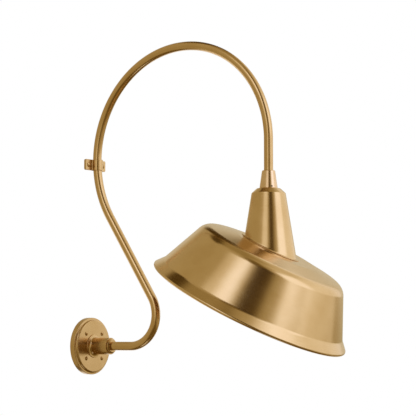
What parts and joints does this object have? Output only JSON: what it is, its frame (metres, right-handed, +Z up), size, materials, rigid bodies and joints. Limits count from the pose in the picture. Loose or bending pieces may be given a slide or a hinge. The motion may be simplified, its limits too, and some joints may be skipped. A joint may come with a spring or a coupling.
{
  "type": "gooseneck wall sconce",
  "caption": "Wall sconce with a round stepped canopy, a bent gooseneck tube held by a strap clip, and a wide tilted bowl shade on a tapered neck.",
  "frame": {"origin": "centre of the canopy's back rim, on the wall plane, where the wall screws' circle is centred", "axes": "+Z up, +Y into the wall, so the arm reaches out along -Y, +X to the right seen from in front of the wall"},
  "size_m": [0.4361, 0.6566, 0.7212],
  "materials": {
    "satin_brass": "satin brushed natural brass",
    "collar_brass": "fine turned brass",
    "screw_brass": "satin brass screw heads",
    "zinc_steel": "zinc plated",
    "black_steel": "black oxide",
    "lampholder_ceramic": "glazed white",
    "nickel_shell": "bright plated",
    "contact_brass": "bright",
    "solder": "dull",
    "lamp_insulator": "black vitrite",
    "opal_glass": "opal white"
  },
  "bodies": {
    "wall_mount": {"canopy": "satin_brass", "canopy_screws": "screw_brass", "hub_base_ring": "satin_brass", "hub": "satin_brass", "hub_set_screw": "black_steel", "hub_nose_ring": "satin_brass", "hub_lock_washer": "zinc_steel", "hub_locknut": "zinc_steel", "gooseneck_arm": "satin_brass", "clip_strap": "satin_brass", "clip_base": "satin_brass", "clip_stand_off": "satin_brass", "clip_wall_screw": "zinc_steel", "clip_screws": "screw_brass", "neck_collar": "collar_brass", "collar_set_screw": "black_steel"},
    "head": {"head_nipple": "zinc_steel", "nipple_washer": "zinc_steel", "nipple_locknut": "zinc_steel", "neck": "satin_brass", "shade": "satin_brass", "lampholder_cap": "lampholder_ceramic", "lampholder_cup": "lampholder_ceramic", "screw_shell": "nickel_shell", "centre_contact": "contact_brass", "terminal_screws": "contact_brass"},
    "lamp": {"lamp_contact": "solder", "lamp_insulator": "lamp_insulator", "lamp_cap": "nickel_shell", "lamp_bulb": "opal_glass"}
  },
  "joints": [
    {"name": "head_swivel", "type": "hinge", "parent": "wall_mount", "child": "head", "pos_m": [0, -0.48096, 0.327], "axis": [0, 0, 1], "range_deg": [-170, 170]},
    {"name": "lamp_removal", "type": "slide", "parent": "head", "child": "lamp", "axis": [0, 0, -1], "range_m": [0, 0.28]}
  ]
}
